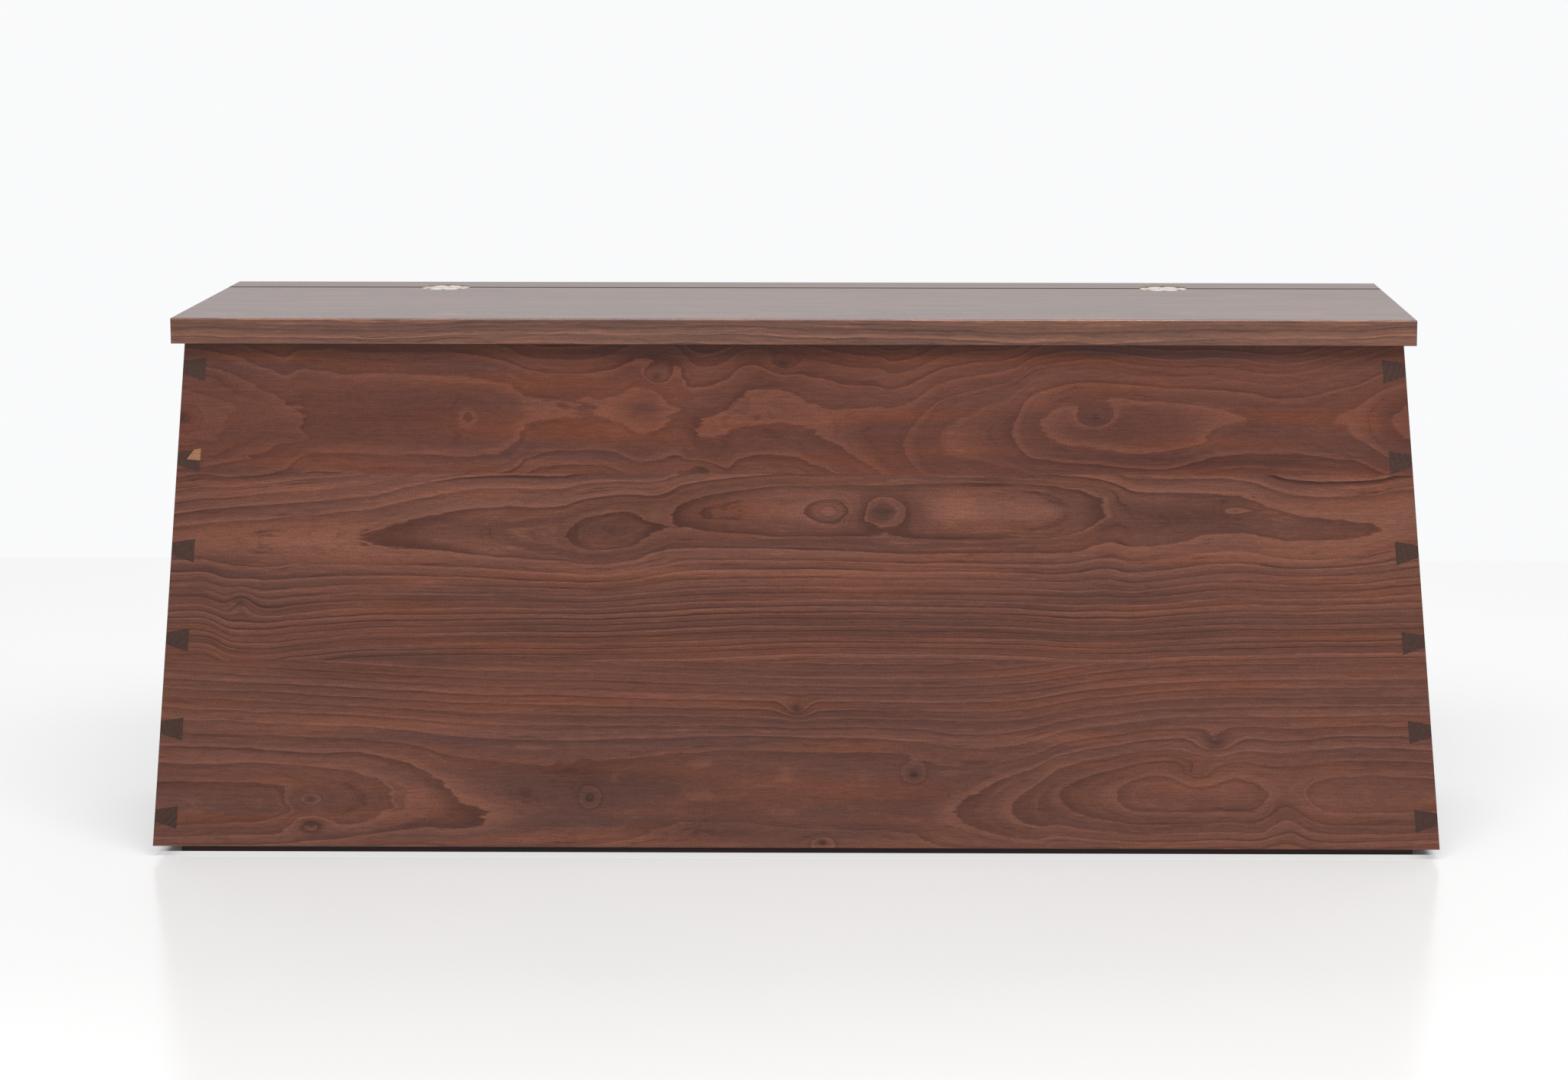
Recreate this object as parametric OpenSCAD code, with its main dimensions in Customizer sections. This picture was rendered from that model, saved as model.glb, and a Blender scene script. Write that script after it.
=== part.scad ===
// Splay-sided walnut album chest.
// Through-dovetailed walls, a bottom panel in grooves on a recessed plinth,
// a fixed hinge rail and a lid on two round flap hinges let into the top.
// Frame: +X to the right, +Y to the back, +Z up. Origin on the floor, under the middle.

/* [Lid and rail] */
// Width of the lid and of the hinge rail, left to right
lid_w = 860; // [800:1:920]
// Depth of the lid, front to back
lid_d = 195.4; // [185:0.1:230]
// Thickness of the lid and of the hinge rail
lid_t = 18; // [16:0.5:22]
// Depth of the fixed hinge rail behind the lid
rail_d = 38; // [30:0.5:45]
// Clear gap between the lid and the hinge rail
lid_gap = 2.6; // [2:0.1:3]
// How far lid and rail stand out past the case on all four sides
overhang = 8; // [4:0.5:14]
// Depth of the lid's front board; the rear board is the rest
lid_front_board_d = 104; // [60:1:120]
// Radius of the eased edges of lid and rail
lid_ease = 1.2; // [0.4:0.1:2]
// Radius of the eased lower edges of lid and rail
lid_ease_low = 0.5; // [0.3:0.1:1.2]

/* [Case] */
// Height of the walls
case_h = 359; // [356:1:380]
// Thickness of the walls
wall_t = 16; // [14:0.5:18]
// Outward lean of the two side walls, in degrees
splay = 5.2; // [3:0.1:6]
// Height of the front and back walls' bottom board
board_low_h = 134.4; // [104:0.1:138]
// Height of the front and back walls' bottom and middle boards together
board_mid_top_h = 267.4; // [230:0.1:267.4]
// Height up the slope of the side walls' lower glue line
side_low_s = 132; // [100:1:138]
// Radius of the eased edges of the case
case_ease = 0.6; // [0.2:0.1:1]

/* [Dovetails] */
// Number of pins at each corner
pin_count = 6; // [6:1:6]
// Width of a pin on the inside of the wall
pin_wide = 16.8; // [12:0.2:18]
// Slope of a pin's flank, as 1 in this many
pin_ratio = 4; // [4:0.5:8]
// Height up the slope of the lowest pin's centre line
pin_first_s = 22.4; // [20:0.1:24]
// Distance from pin to pin up the slope
pin_pitch = 64.1; // [63.8:0.1:64.5]

/* [Bottom and plinth] */
// Height of the shadow gap under the walls
plinth_gap = 8; // [4:0.5:14]
// Height from the walls' lower edge to the bottom panel
panel_rise = 6; // [5:0.5:10]
// Thickness of the bottom panel
panel_t = 9; // [6:0.5:12]
// Depth of the groove that holds the bottom panel
groove_d = 6; // [4:0.5:7]
// Width of the plinth strips
strip_w = 22; // [16:1:30]

/* [Hinges] */
// Distance from the lid's end to a hinge's centre
hinge_inset = 162.5; // [120:0.5:200]
// Diameter of the round hinge
hinge_dia = 35; // [35:0.1:36]
// Depth of the hinge plate below the wood
hinge_sink = 0.3; // [0:0.1:0.5]
// Thickness of a hinge leaf at its rim
leaf_t = 4; // [3.6:0.1:4.5]
// Distance from the joint line to a pivot pin
pivot_out = 5; // [5:0.1:5.5]
// Depth of a pivot pin below the hinge plate
pivot_down = 2.2; // [2.2:0.1:2.3]
// Diameter of a pivot pin
pivot_dia = 2; // [1.6:0.1:2]
// Thickness of the link between the leaves
link_w = 5; // [4:0.2:6]

/* [Hidden] */
$fn = 64;
eps = 0.01;

walnut = [0.36, 0.22, 0.17];
walnut_dark = [0.24, 0.17, 0.13];
beech = [0.78, 0.62, 0.44];
nickel = [0.80, 0.78, 0.75];
brass = [0.80, 0.70, 0.45];
zinc = [0.62, 0.62, 0.63];

total_d = lid_d + lid_gap + rail_d;         // whole top, front to back
case_d = total_d - 2 * overhang;            // outside of the walls, front to back
z_low = plinth_gap;                         // lower edge of the walls
z_high = plinth_gap + case_h;               // upper edge of the walls
z_top = z_high + lid_t;                     // top of the lid
y_front = -total_d / 2;
y_lid_back = y_front + lid_d;
y_rail = y_lid_back + lid_gap;
y_joint = y_lid_back + lid_gap / 2;         // middle of the gap
y_out = case_d / 2;                         // outer faces of front and back walls
y_in = y_out - wall_t;                      // inner faces of front and back walls
x_top = lid_w / 2 - overhang;               // half width of the case at its top
x_low = x_top + case_h * tan(splay);        // half width of the case at its foot

pin_hw_in = pin_wide / 2;
pin_hw_out = pin_wide / 2 - wall_t / pin_ratio;

// outer half width of the case at a height
function x_at(z) = x_top + (z_high - z) * tan(splay);
// a point of the left wall: s up the slope, t inward from the outer face, as [x, z]
function sp(s, t) = [-x_low + s * sin(splay) + t * cos(splay),
                     z_low + s * cos(splay) - t * sin(splay)];
// s of a height z on the plane t
function s_of(z, t) = (z - z_low + t * sin(splay)) / cos(splay);
function pin_s(i) = pin_first_s + i * pin_pitch;
side_high_s = pin_s(pin_count - 2);         // upper glue line of the side walls, on a pin

// extrudes an XZ outline from y0 to y1
module along_y(y0, y1) translate([0, y1, 0]) rotate([90, 0, 0]) linear_extrude(y1 - y0) children();

// takes the corner off an edge that runs up the local Z axis, the wood lying towards local +X and +Y
module ease_cut(r, length)
  translate([0, 0, -1])
    difference() {
      translate([-1, -1, 0]) cube([r + 1, r + 1, length + 2]);
      translate([r, r, -1]) cylinder(r = r, h = length + 4, $fn = 48);
      translate([r, -2, -1]) cube([r + 1, r + 4, length + 4]);
      translate([-2, r, -1]) cube([r + 4, r + 1, length + 4]);
    }
// the four leaning corners of the case and its lower edges
module case_eases()
  for (m = [0, 1]) mirror([m, 0, 0])
    for (k = [0, 1]) mirror([0, k, 0]) {
      translate([-x_low, -y_out, z_low]) rotate([0, splay, 0]) translate([0, 0, -3]) ease_cut(case_ease, case_h / cos(splay) + 6);
      translate([-x_low - 3, -y_out, z_low]) rotate([0, 90, 0]) mirror([1, 0, 0]) ease_cut(case_ease, x_low + 6);
      translate([-x_low, -y_out - 3, z_low]) rotate([-90, 0, 0]) mirror([0, 1, 0]) ease_cut(case_ease, y_out + 6);
    }
// the outer edges of the whole top, lid and rail together
module top_eases()
  for (m = [0, 1]) mirror([m, 0, 0])
    for (k = [0, 1]) mirror([0, k, 0])
      for (h = [0, 1]) translate([0, 0, z_high + lid_t / 2]) mirror([0, 0, h]) {
        translate([-lid_w / 2, y_front, -lid_t / 2 - 1]) ease_cut(lid_ease, lid_t + 2);
        translate([-lid_w / 2 - 3, y_front, -lid_t / 2]) rotate([0, 90, 0]) mirror([1, 0, 0]) ease_cut(h == 0 ? lid_ease_low : lid_ease, lid_w / 2 + 6);
        translate([-lid_w / 2, y_front - 3, -lid_t / 2]) rotate([-90, 0, 0]) mirror([0, 1, 0]) ease_cut(h == 0 ? lid_ease_low : lid_ease, total_d / 2 + 6);
      }
// the upper edges on both sides of the gap between lid and rail
module rail_ease() translate([-lid_w / 2 - 3, y_rail, z_top]) rotate([0, 90, 0]) ease_cut(lid_ease, lid_w + 6);
module lid_back_ease() translate([-lid_w / 2 - 3, y_lid_back, z_top]) mirror([0, 1, 0]) rotate([0, 90, 0]) ease_cut(lid_ease, lid_w + 6);

// outline of a pin: below and above say which halves of it are there
module pin_outline(s, below = true, above = true, out = 0)
  polygon([
    sp(below ? s - pin_hw_out + out / pin_ratio : s, -out),
    sp(below ? s - pin_hw_in : s, wall_t),
    sp(above ? s + pin_hw_in : s, wall_t),
    sp(above ? s + pin_hw_out - out / pin_ratio : s, -out)
  ]);

// groove for the bottom panel, cut in every wall board
module groove_cut()
  translate([-x_at(z_low + panel_rise) + wall_t - groove_d, -y_in - groove_d, z_low + panel_rise])
    cube([2 * (x_at(z_low + panel_rise) - wall_t + groove_d), 2 * (y_in + groove_d), panel_t]);

// ---- front and back walls: boards glued edge to edge, tails at both ends
module wall_board(z0, z1)
  difference() {
    along_y(-y_out, -y_in)
      polygon([[-x_at(z0), z0], [x_at(z0), z0], [x_at(z1), z1], [-x_at(z1), z1]]);
    for (m = [0, 1]) mirror([m, 0, 0])
      for (i = [0 : pin_count - 1])
        if (pin_s(i) + pin_hw_in > s_of(z0, wall_t) - 1 && pin_s(i) - pin_hw_in < s_of(z1, wall_t) + 1)
          along_y(-y_out - 1, -y_in + 1) pin_outline(pin_s(i), out = 2);
    if (z0 < z_low + panel_rise + panel_t) groove_cut();
    case_eases();
  }

module wall_board_by_index(k)
  wall_board([z_low, z_low + board_low_h, z_low + board_mid_top_h][k],
             [z_low + board_low_h, z_low + board_mid_top_h, z_high][k]);

dowel_x = [-340, -115, 115, 340];
dowel_r = 4;
module dowel_bores()
  for (x = dowel_x) translate([x, (y_in + y_out) / 2, z_high - 14]) cylinder(r = dowel_r, h = 26);

module front_board(k) color(walnut) wall_board_by_index(k);
module back_board(k) color(walnut)
  difference() {
    mirror([0, 1, 0]) wall_board_by_index(k);
    if (k == 2) dowel_bores();
  }

// ---- side walls: boards glued edge to edge, pins on both ends
module left_board(k) color(walnut_dark)
  difference() {
    union() {
      along_y(-y_in, y_in)
        polygon(
          k == 0 ? [sp(s_of(z_low, 0), 0), sp(s_of(z_low, wall_t), wall_t), sp(side_low_s, wall_t), sp(side_low_s, 0)] :
          k == 1 ? [sp(side_low_s, 0), sp(side_low_s, wall_t), sp(side_high_s, wall_t), sp(side_high_s, 0)] :
                   [sp(side_high_s, 0), sp(side_high_s, wall_t), sp(s_of(z_high, wall_t), wall_t), sp(s_of(z_high, 0), 0)]);
      for (i = [0 : pin_count - 1]) {
        s = pin_s(i);
        whole = k == 0 ? s < side_low_s : k == 1 ? s > side_low_s && s < side_high_s - 1 : s > side_high_s + 1;
        if (whole) along_y(-y_out, y_out) pin_outline(s);
        if (k == 1 && i == pin_count - 2) along_y(-y_out, y_out) pin_outline(s, above = false);
        if (k == 2 && i == pin_count - 2) along_y(-y_out, y_out) pin_outline(s, below = false);
      }
    }
    if (k == 0) groove_cut();
    case_eases();
  }
module right_board(k) mirror([1, 0, 0]) left_board(k);

// ---- bottom panel, half a millimetre short of the grooves all round
module bottom_panel() color(walnut)
  translate([-x_at(z_low + panel_rise) + wall_t - groove_d + 0.5, -y_in - groove_d + 0.5, z_low + panel_rise])
    cube([2 * (x_at(z_low + panel_rise) - wall_t + groove_d - 0.5), 2 * (y_in + groove_d - 0.5), panel_t]);

// ---- plinth strips under the panel, just inside the walls
strip_h = plinth_gap + panel_rise;
strip_x = x_at(z_low + panel_rise) - wall_t / cos(splay) - 0.3;
strip_y = y_in - 0.3;
screw_len = strip_h + panel_t - 3;
// a countersunk wood screw, head up, its head's face at z = 0
module wood_screw(r, head_r, head_h, length, slot_w)
  difference() {
    union() {
      translate([0, 0, -head_h]) cylinder(r1 = r, r2 = head_r, h = head_h);
      translate([0, 0, -length + 2]) cylinder(r = r, h = length - 2 - head_h + eps);
      translate([0, 0, -length]) cylinder(r1 = r * 0.2, r2 = r, h = 2);
    }
    translate([-head_r * 0.6, -slot_w / 2, -head_h * 0.6]) cube([head_r * 1.2, slot_w, head_h]);
    translate([-slot_w / 2, -head_r * 0.6, -head_h * 0.6]) cube([slot_w, head_r * 1.2, head_h]);
  }
// the hole that such a screw fills
module screw_hole(r, head_r, head_h, length) {
  translate([0, 0, -head_h]) cylinder(r1 = r, r2 = head_r, h = head_h);
  translate([0, 0, -length]) cylinder(r = r, h = length);
  translate([0, 0, -eps]) cylinder(r = head_r, h = 2);
}
long_screw_x = [for (i = [-2 : 2]) i * (strip_x - 30) / 2];
module at_plinth_screws(which) {
  if (which == 0 || which == 4) for (x = long_screw_x) translate([x, -strip_y + strip_w / 2, 0.6]) mirror([0, 0, 1]) children();
  if (which == 1 || which == 4) for (x = long_screw_x) translate([x, strip_y - strip_w / 2, 0.6]) mirror([0, 0, 1]) children();
  if (which == 2 || which == 4) for (y = [-45, 45]) translate([-strip_x + strip_w / 2, y, 0.6]) mirror([0, 0, 1]) children();
  if (which == 3 || which == 4) for (y = [-45, 45]) translate([strip_x - strip_w / 2, y, 0.6]) mirror([0, 0, 1]) children();
}
module strip(which) color(walnut_dark)
  difference() {
    if (which == 0) translate([-strip_x, -strip_y, 0]) cube([2 * strip_x, strip_w, strip_h]);
    else if (which == 1) translate([-strip_x, strip_y - strip_w, 0]) cube([2 * strip_x, strip_w, strip_h]);
    else if (which == 2) translate([-strip_x, -strip_y + strip_w, 0]) cube([strip_w, 2 * (strip_y - strip_w), strip_h]);
    else translate([strip_x - strip_w, -strip_y + strip_w, 0]) cube([strip_w, 2 * (strip_y - strip_w), strip_h]);
    at_plinth_screws(which) screw_hole(1.75, 3.5, 2, screw_len);
  }
module bottom_panel_bored()
  difference() {
    bottom_panel();
    color(walnut) at_plinth_screws(4) screw_hole(1.75, 3.5, 2, screw_len);
  }
module plinth_screws() color(zinc) at_plinth_screws(4) wood_screw(1.75, 3.5, 2, screw_len, 0.9);

// ---- round flap hinge, drawn about its middle: X along the joint, Y to the back, Z up from the plate's face
hinge_r = hinge_dia / 2;
leaf_edge = 0.4;                            // straight edge of a leaf, from the joint's middle
block_x = 8.5;                              // half width of the boss that holds the pivot
block_y = 10;                               // reach of the boss
block_z = 6.5;                              // depth of the boss
link_r = pivot_down;                        // the link is flush with the plate
slot_x = link_w / 2 + 0.2;
slot_r = link_r + 0.2;
hinge_screws = [[-11.5, 8], [0, 13.6], [11.5, 8]];
pin_half = 9.2;                             // half length of a pivot pin
hinge_screw_len = 13;
module rear_leaf_shape()
  difference() {
    union() {
      intersection() {
        translate([0, 0, -leaf_t]) cylinder(r = hinge_r, h = leaf_t, $fn = 128);
        translate([-hinge_r - 1, leaf_edge, -leaf_t - 1]) cube([2 * hinge_r + 2, hinge_r + 1, leaf_t + 2]);
      }
      translate([-block_x, leaf_edge, -block_z]) cube([2 * block_x, block_y - leaf_edge, block_z - leaf_t + eps]);
    }
    // bevel along the straight edge
    translate([-hinge_r - 1, leaf_edge, 0]) rotate([45, 0, 0]) translate([0, -0.42, -0.42]) cube([2 * hinge_r + 2, 0.84, 0.84]);
    // slot for the link
    translate([-slot_x, -1, -link_r - slot_r]) cube([2 * slot_x, pivot_out + 1, link_r + slot_r + 1]);
    translate([-slot_x, pivot_out, -pivot_down]) rotate([0, 90, 0]) cylinder(r = slot_r, h = 2 * slot_x);
    // bore for the pivot pin
    translate([-pin_half, pivot_out, -pivot_down]) rotate([0, 90, 0]) cylinder(d = pivot_dia, h = 2 * pin_half);
    for (p = hinge_screws) translate([p[0], p[1], 0]) screw_hole(1.5, 2.8, 1.5, hinge_screw_len);
  }
module link_shape()
  difference() {
    union() {
      for (y = [-pivot_out, pivot_out]) translate([-link_w / 2, y, -pivot_down]) rotate([0, 90, 0]) cylinder(r = link_r, h = link_w);
      translate([-link_w / 2, -pivot_out, -pivot_down - link_r]) cube([link_w, 2 * pivot_out, 2 * link_r]);
    }
    for (y = [-pivot_out, pivot_out]) translate([-link_w / 2 - 1, y, -pivot_down]) rotate([0, 90, 0]) cylinder(r = pivot_dia / 2 + 0.05, h = link_w + 2);
  }
module pin_shape() translate([-pin_half, pivot_out, -pivot_down]) rotate([0, 90, 0]) cylinder(d = pivot_dia, h = 2 * pin_half);
module leaf_screws() for (p = hinge_screws) translate([p[0], p[1], 0]) wood_screw(1.5, 2.8, 1.5, hinge_screw_len, 0.8);
// what is cut out of the wood for half a hinge
module hinge_mortise() {
  translate([0, 0, -leaf_t]) cylinder(r = hinge_r + 0.1, h = leaf_t + 2, $fn = 128);
  translate([-block_x - 0.2, -2, -block_z - 0.2]) cube([2 * block_x + 0.4, block_y + 2.2, block_z + 1]);
  for (p = hinge_screws) translate([p[0], p[1], -hinge_screw_len]) cylinder(r = 1.5, h = hinge_screw_len);
}
hinge_x = lid_w / 2 - hinge_inset;
module at_hinge(side) translate([side * hinge_x, y_joint, z_top - hinge_sink]) children();
module front_half() mirror([0, 1, 0]) children();

// ---- rail and lid
module hinge_rail() color(walnut)
  difference() {
    translate([-lid_w / 2, y_rail, z_high]) cube([lid_w, rail_d, lid_t]);
    for (s = [-1, 1]) at_hinge(s) hinge_mortise();
    dowel_bores();
    top_eases();
    rail_ease();
  }
module rail_dowels() color(beech)
  for (x = dowel_x) translate([x, (y_in + y_out) / 2, z_high - 13]) cylinder(r = dowel_r, h = 24);
module lid_front_board() color(walnut)
  difference() {
    translate([-lid_w / 2, y_front, z_high]) cube([lid_w, lid_front_board_d, lid_t]);
    top_eases();
  }
module lid_rear_board() color(walnut)
  difference() {
    translate([-lid_w / 2, y_front + lid_front_board_d, z_high]) cube([lid_w, lid_d - lid_front_board_d, lid_t]);
    for (s = [-1, 1]) at_hinge(s) front_half() hinge_mortise();
    top_eases();
    lid_back_ease();
  }

front_board(2);  // front_board_top
front_board(1);  // front_board_middle
front_board(0);  // front_board_bottom
back_board(2);  // back_board_top
back_board(1);  // back_board_middle
back_board(0);  // back_board_bottom
left_board(2);  // left_side_board_top
left_board(1);  // left_side_board_middle
left_board(0);  // left_side_board_bottom
right_board(2);  // right_side_board_top
right_board(1);  // right_side_board_middle
right_board(0);  // right_side_board_bottom
bottom_panel_bored();  // bottom_panel
strip(0);  // plinth_front
strip(1);  // plinth_back
strip(2);  // plinth_left
strip(3);  // plinth_right
plinth_screws();
hinge_rail();
rail_dowels();
lid_front_board();
lid_rear_board();
color(nickel) at_hinge(-1) rear_leaf_shape();  // left_hinge_rear_leaf
color(nickel) at_hinge(-1) front_half() rear_leaf_shape();  // left_hinge_front_leaf
color(nickel) at_hinge(-1) link_shape();  // left_hinge_link
color(zinc) at_hinge(-1) pin_shape();  // left_hinge_rear_pin
color(zinc) at_hinge(-1) front_half() pin_shape();  // left_hinge_front_pin
color(brass) at_hinge(-1) leaf_screws();  // left_hinge_rear_screws
color(brass) at_hinge(-1) front_half() leaf_screws();  // left_hinge_front_screws
color(nickel) at_hinge(1) rear_leaf_shape();  // right_hinge_rear_leaf
color(nickel) at_hinge(1) front_half() rear_leaf_shape();  // right_hinge_front_leaf
color(nickel) at_hinge(1) link_shape();  // right_hinge_link
color(zinc) at_hinge(1) pin_shape();  // right_hinge_rear_pin
color(zinc) at_hinge(1) front_half() pin_shape();  // right_hinge_front_pin
color(brass) at_hinge(1) leaf_screws();  // right_hinge_rear_screws
color(brass) at_hinge(1) front_half() leaf_screws();  // right_hinge_front_screws
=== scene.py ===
import math

import bpy
from mathutils import Matrix, Vector

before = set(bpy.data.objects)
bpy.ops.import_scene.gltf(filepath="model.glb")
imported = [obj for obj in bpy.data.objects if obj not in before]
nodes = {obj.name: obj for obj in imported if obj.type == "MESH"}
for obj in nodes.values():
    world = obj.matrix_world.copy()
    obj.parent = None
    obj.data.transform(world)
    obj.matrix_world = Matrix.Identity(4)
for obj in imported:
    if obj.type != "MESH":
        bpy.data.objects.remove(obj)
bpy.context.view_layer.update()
MM = 0.001


# ---------------------------------------------------------------- colours
def linear(rgb):
    """sRGB 0-255 to linear."""
    out = []
    for c in rgb:
        c = c / 255.0
        out.append(c / 12.92 if c <= 0.04045 else ((c + 0.055) / 1.055) ** 2.4)
    return out


def albedo(rgb, light=1.92, haze=0.024):
    """Base colour of a surface that shows as sRGB rgb under this scene's light, whose gloss adds haze."""
    return [min(0.9, max(0.002, (c - haze) / light)) for c in linear(rgb)]


# ---------------------------------------------------------------- node helpers
class Graph:
    def __init__(self, name):
        self.mat = bpy.data.materials.new(name)
        self.mat.use_nodes = True
        self.tree = self.mat.node_tree
        self.tree.nodes.clear()

    def put(self, socket, value):
        if isinstance(value, bpy.types.NodeSocket):
            self.tree.links.new(value, socket)
        elif value is not None:
            if isinstance(value, (list, tuple)) and len(value) == 3 and socket.type == "RGBA":
                value = list(value) + [1.0]
            socket.default_value = value

    def node(self, kind, **props):
        n = self.tree.nodes.new(kind)
        for k, v in props.items():
            setattr(n, k, v)
        return n

    def math(self, op, a, b=None, c=None, clamp=False):
        n = self.node("ShaderNodeMath", operation=op, use_clamp=clamp)
        for i, v in enumerate((a, b, c)):
            if v is not None:
                self.put(n.inputs[i], v)
        return n.outputs[0]

    def vec(self, op, a, b=None, c=None):
        n = self.node("ShaderNodeVectorMath", operation=op)
        for i, v in enumerate((a, b, c)):
            if v is not None:
                self.put(n.inputs[i], v)
        return n.outputs["Value"] if op in ("DOT_PRODUCT", "LENGTH", "DISTANCE") else n.outputs["Vector"]

    def noise(self, vector, scale=1.0, detail=2.0, rough=0.5, distortion=0.0):
        n = self.node("ShaderNodeTexNoise", noise_dimensions="3D")
        self.put(n.inputs["Vector"], vector)
        n.inputs["Scale"].default_value = scale
        n.inputs["Detail"].default_value = detail
        n.inputs["Roughness"].default_value = rough
        n.inputs["Distortion"].default_value = distortion
        return n.outputs[0]

    def noise1(self, value, detail=2.0, rough=0.5):
        n = self.node("ShaderNodeTexNoise", noise_dimensions="1D")
        self.put(n.inputs["W"], value)
        n.inputs["Scale"].default_value = 1.0
        n.inputs["Detail"].default_value = detail
        n.inputs["Roughness"].default_value = rough
        return n.outputs[0]

    def curve(self, value, points, plain):
        """A smooth curve through (u, y) points; plain is its value where there are none."""
        if not points:
            return plain
        u0, u1 = points[0][0], points[-1][0]
        y0, y1 = min(y for _, y in points), max(y for _, y in points)
        n = self.node("ShaderNodeFloatCurve")
        line = n.mapping.curves[0]
        spots = [((u - u0) / (u1 - u0), (y - y0) / ((y1 - y0) or 1.0)) for u, y in points]
        line.points[0].location, line.points[1].location = spots[0], spots[-1]
        for x, y in spots[1:-1]:
            line.points.new(x, y)
        for point in line.points:
            point.handle_type = "AUTO_CLAMPED"
        n.mapping.update()
        n.inputs["Factor"].default_value = 1.0
        self.put(n.inputs["Value"], self.math("MULTIPLY_ADD", value, 1.0 / (u1 - u0), -u0 / (u1 - u0), clamp=True))
        return self.math("MULTIPLY_ADD", n.outputs[0], y1 - y0, y0)

    def spread(self, noise, low, high):
        """A noise value's usual range, 0.3 to 0.7, mapped to low..high."""
        n = self.node("ShaderNodeMapRange", clamp=True)
        self.put(n.inputs["Value"], noise)
        n.inputs["From Min"].default_value = 0.3
        n.inputs["From Max"].default_value = 0.7
        n.inputs["To Min"].default_value = low
        n.inputs["To Max"].default_value = high
        return n.outputs["Result"]

    def span(self, value, a, b, low=0.0, high=1.0, smooth=True):
        n = self.node("ShaderNodeMapRange", clamp=True, interpolation_type="SMOOTHSTEP" if smooth else "LINEAR")
        self.put(n.inputs["Value"], value)
        n.inputs["From Min"].default_value = a
        n.inputs["From Max"].default_value = b
        n.inputs["To Min"].default_value = low
        n.inputs["To Max"].default_value = high
        return n.outputs["Result"]

    def mix(self, fac, a, b, blend="MIX"):
        n = self.node("ShaderNodeMix", data_type="RGBA", blend_type=blend, clamp_factor=True)
        self.put(n.inputs[0], fac)
        self.put(n.inputs[6], a)
        self.put(n.inputs[7], b)
        return n.outputs[2]

    def white(self, value, seed):
        n = self.node("ShaderNodeTexWhiteNoise", noise_dimensions="1D")
        self.put(n.inputs["W"], self.math("ADD", value, seed))
        return n.outputs["Value"]

    def scaled(self, vector, sx, sy, sz, offset=(0.0, 0.0, 0.0)):
        return self.vec("MULTIPLY_ADD", vector, (sx, sy, sz), offset)

    def hill(self, point, centre, radii, amount, total, flat=False):
        """total + amount * exp(-d^2), d being the distance from centre in radii; flat gives exp(-d^4)."""
        inv = [1.0 / r for r in radii]
        p = self.vec("MULTIPLY_ADD", point, (inv[0], inv[1], 0.0), (-centre[0] * inv[0], -centre[1] * inv[1], 0.0))
        d2 = self.vec("DOT_PRODUCT", p, p)
        if flat:
            d2 = self.math("MULTIPLY", d2, d2)
        e = self.math("EXPONENT", self.math("MULTIPLY", d2, -1.0))
        return self.math("MULTIPLY_ADD", e, amount, total)

    def finish(self, color, rough, bump=None, bump_strength=0.3, bump_distance=0.0002, metallic=0.0, ior=1.45, **extra):
        b = self.node("ShaderNodeBsdfPrincipled")
        self.put(b.inputs["Base Color"], color)
        self.put(b.inputs["Roughness"], rough)
        b.inputs["Metallic"].default_value = metallic
        b.inputs["IOR"].default_value = ior
        for k, v in extra.items():
            b.inputs[k.replace("_", " ")].default_value = v
        if bump is not None:
            n = self.node("ShaderNodeBump")
            n.inputs["Strength"].default_value = bump_strength
            n.inputs["Distance"].default_value = bump_distance
            self.put(n.inputs["Height"], bump)
            self.put(b.inputs["Normal"], n.outputs["Normal"])
        out = self.node("ShaderNodeOutputMaterial")
        self.tree.links.new(b.outputs["BSDF"], out.inputs["Surface"])
        return self.mat


# ---------------------------------------------------------------- walnut
AXES = {"x": ("X", "Z", "Y"), "top": ("X", "Y", "Z"), "y": ("Y", "Z", "X")}

REDDISH = dict(mid=(110, 70, 60), light=(142, 92, 75), dark=(74, 48, 43), warm=(122, 73, 55), cool=(101, 70, 64))
WARMER = dict(mid=(111, 74, 64), light=(146, 99, 83), dark=(71, 49, 44), warm=(121, 77, 62), cool=(100, 71, 65))
BROWN = dict(mid=(113, 77, 65), light=(149, 104, 83), dark=(74, 51, 45), warm=(126, 83, 65), cool=(102, 73, 64))
DARKER = dict(mid=(98, 66, 56), light=(124, 83, 68), dark=(68, 47, 42), warm=(110, 70, 54), cool=(88, 65, 59))


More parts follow.
